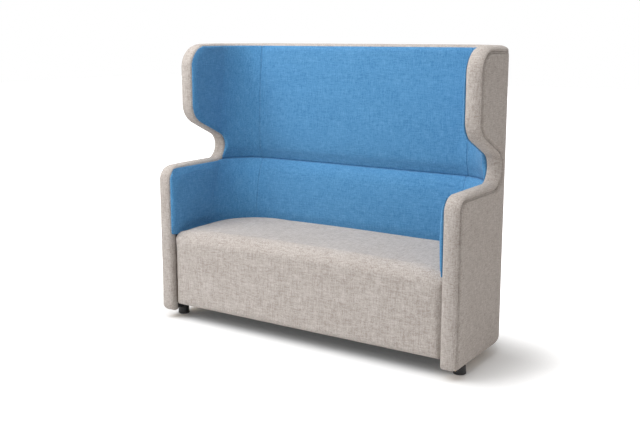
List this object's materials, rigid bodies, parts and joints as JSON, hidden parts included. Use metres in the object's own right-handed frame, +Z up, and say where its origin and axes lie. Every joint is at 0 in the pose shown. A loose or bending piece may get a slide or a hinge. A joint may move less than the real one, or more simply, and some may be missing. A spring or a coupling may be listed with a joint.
{
  "type": "high-back settee",
  "caption": "Upholstered high-back bench settee: a rounded shell with waisted wings wraps inner pads and a full-width bench seat on levelling feet.",
  "frame": {"origin": "on the floor, under the middle of the settee's footprint", "axes": "+X to the right of someone facing the settee, +Y from the front to the back, +Z up"},
  "size_m": [1.62, 0.664, 1.362],
  "materials": {
    "grey_fabric": "matte",
    "blue_fabric": "matte",
    "foam": "matte",
    "webbing": "matte",
    "dust_cloth": "matte",
    "plywood": "satin",
    "softwood": "matte",
    "black_plastic": "satin",
    "zinc_steel": "satin"
  },
  "bodies": {
    "shell": {"arm_cover_left": "blue_fabric", "arm_cover_right": "blue_fabric", "arm_foam_left": "foam", "arm_foam_right": "foam", "back_board": "plywood", "back_rib_inner_left": "softwood", "back_rib_inner_right": "softwood", "back_rib_outer_left": "softwood", "back_rib_outer_right": "softwood", "corner_brackets": "zinc_steel", "corner_former_left": "plywood", "corner_former_right": "plywood", "corner_plates_left": "plywood", "corner_plates_right": "plywood", "dust_cover": "dust_cloth", "foot_tee_nuts": "zinc_steel", "frame_bolts": "zinc_steel", "frame_tee_nuts": "zinc_steel", "inner_lining_left": "plywood", "inner_lining_right": "plywood", "lumbar_cover": "blue_fabric", "lumbar_foam": "foam", "lumbar_straps": "webbing", "outer_back_cover": "grey_fabric", "outer_side_cover_left": "grey_fabric", "outer_side_cover_right": "grey_fabric", "rear_beam": "softwood", "seat_centre_rail": "softwood", "seat_corner_braces": "softwood", "seat_cover": "grey_fabric", "seat_foam": "foam", "seat_front_rail": "softwood", "seat_rear_rail": "softwood", "seat_side_rail_left": "softwood", "seat_side_rail_right": "softwood", "seat_straps": "webbing", "side_beam_left": "softwood", "side_beam_right": "softwood", "side_frame_left": "plywood", "side_frame_right": "plywood", "side_rim_left": "grey_fabric", "side_rim_right": "grey_fabric", "top_rail": "softwood", "top_rim": "grey_fabric", "upper_back_cover": "blue_fabric", "upper_back_foam": "foam", "upper_back_panel": "plywood", "wing_cover_left": "blue_fabric", "wing_cover_right": "blue_fabric", "wing_foam_left": "foam", "wing_foam_right": "foam"},
    "pad_front_right": {"foot_pad_front_right": "black_plastic"},
    "stem_front_right": {"foot_stem_front_right": "zinc_steel"},
    "pad_front_left": {"foot_pad_front_left": "black_plastic"},
    "stem_front_left": {"foot_stem_front_left": "zinc_steel"},
    "pad_rear_right": {"foot_pad_rear_right": "black_plastic"},
    "stem_rear_right": {"foot_stem_rear_right": "zinc_steel"},
    "pad_rear_left": {"foot_pad_rear_left": "black_plastic"},
    "stem_rear_left": {"foot_stem_rear_left": "zinc_steel"}
  },
  "joints": [
    {"name": "height_front_right", "type": "slide", "parent": "shell", "child": "pad_front_right", "axis": [0, 0, -1], "range_m": [0, 0.012]},
    {"name": "screw_front_right", "type": "hinge", "parent": "pad_front_right", "child": "stem_front_right", "pos_m": [0.771, -0.205, 0.04], "axis": [0, 0, 1], "range_deg": [0, 2880]},
    {"name": "height_front_left", "type": "slide", "parent": "shell", "child": "pad_front_left", "axis": [0, 0, -1], "range_m": [0, 0.012]},
    {"name": "screw_front_left", "type": "hinge", "parent": "pad_front_left", "child": "stem_front_left", "pos_m": [-0.771, -0.205, 0.04], "axis": [0, 0, 1], "range_deg": [0, 2880]},
    {"name": "height_rear_right", "type": "slide", "parent": "shell", "child": "pad_rear_right", "axis": [0, 0, -1], "range_m": [0, 0.012]},
    {"name": "screw_rear_right", "type": "hinge", "parent": "pad_rear_right", "child": "stem_rear_right", "pos_m": [0.56, 0.28, 0.04], "axis": [0, 0, 1], "range_deg": [0, 2880]},
    {"name": "height_rear_left", "type": "slide", "parent": "shell", "child": "pad_rear_left", "axis": [0, 0, -1], "range_m": [0, 0.012]},
    {"name": "screw_rear_left", "type": "hinge", "parent": "pad_rear_left", "child": "stem_rear_left", "pos_m": [-0.56, 0.28, 0.04], "axis": [0, 0, 1], "range_deg": [0, 2880]}
  ],
  "couplings": [
    {"joint": "screw_front_right", "follows": "height_front_right", "rad_per_m": 4188.8},
    {"joint": "screw_front_left", "follows": "height_front_left", "rad_per_m": 4188.8},
    {"joint": "screw_rear_right", "follows": "height_rear_right", "rad_per_m": 4188.8},
    {"joint": "screw_rear_left", "follows": "height_rear_left", "rad_per_m": 4188.8}
  ]
}
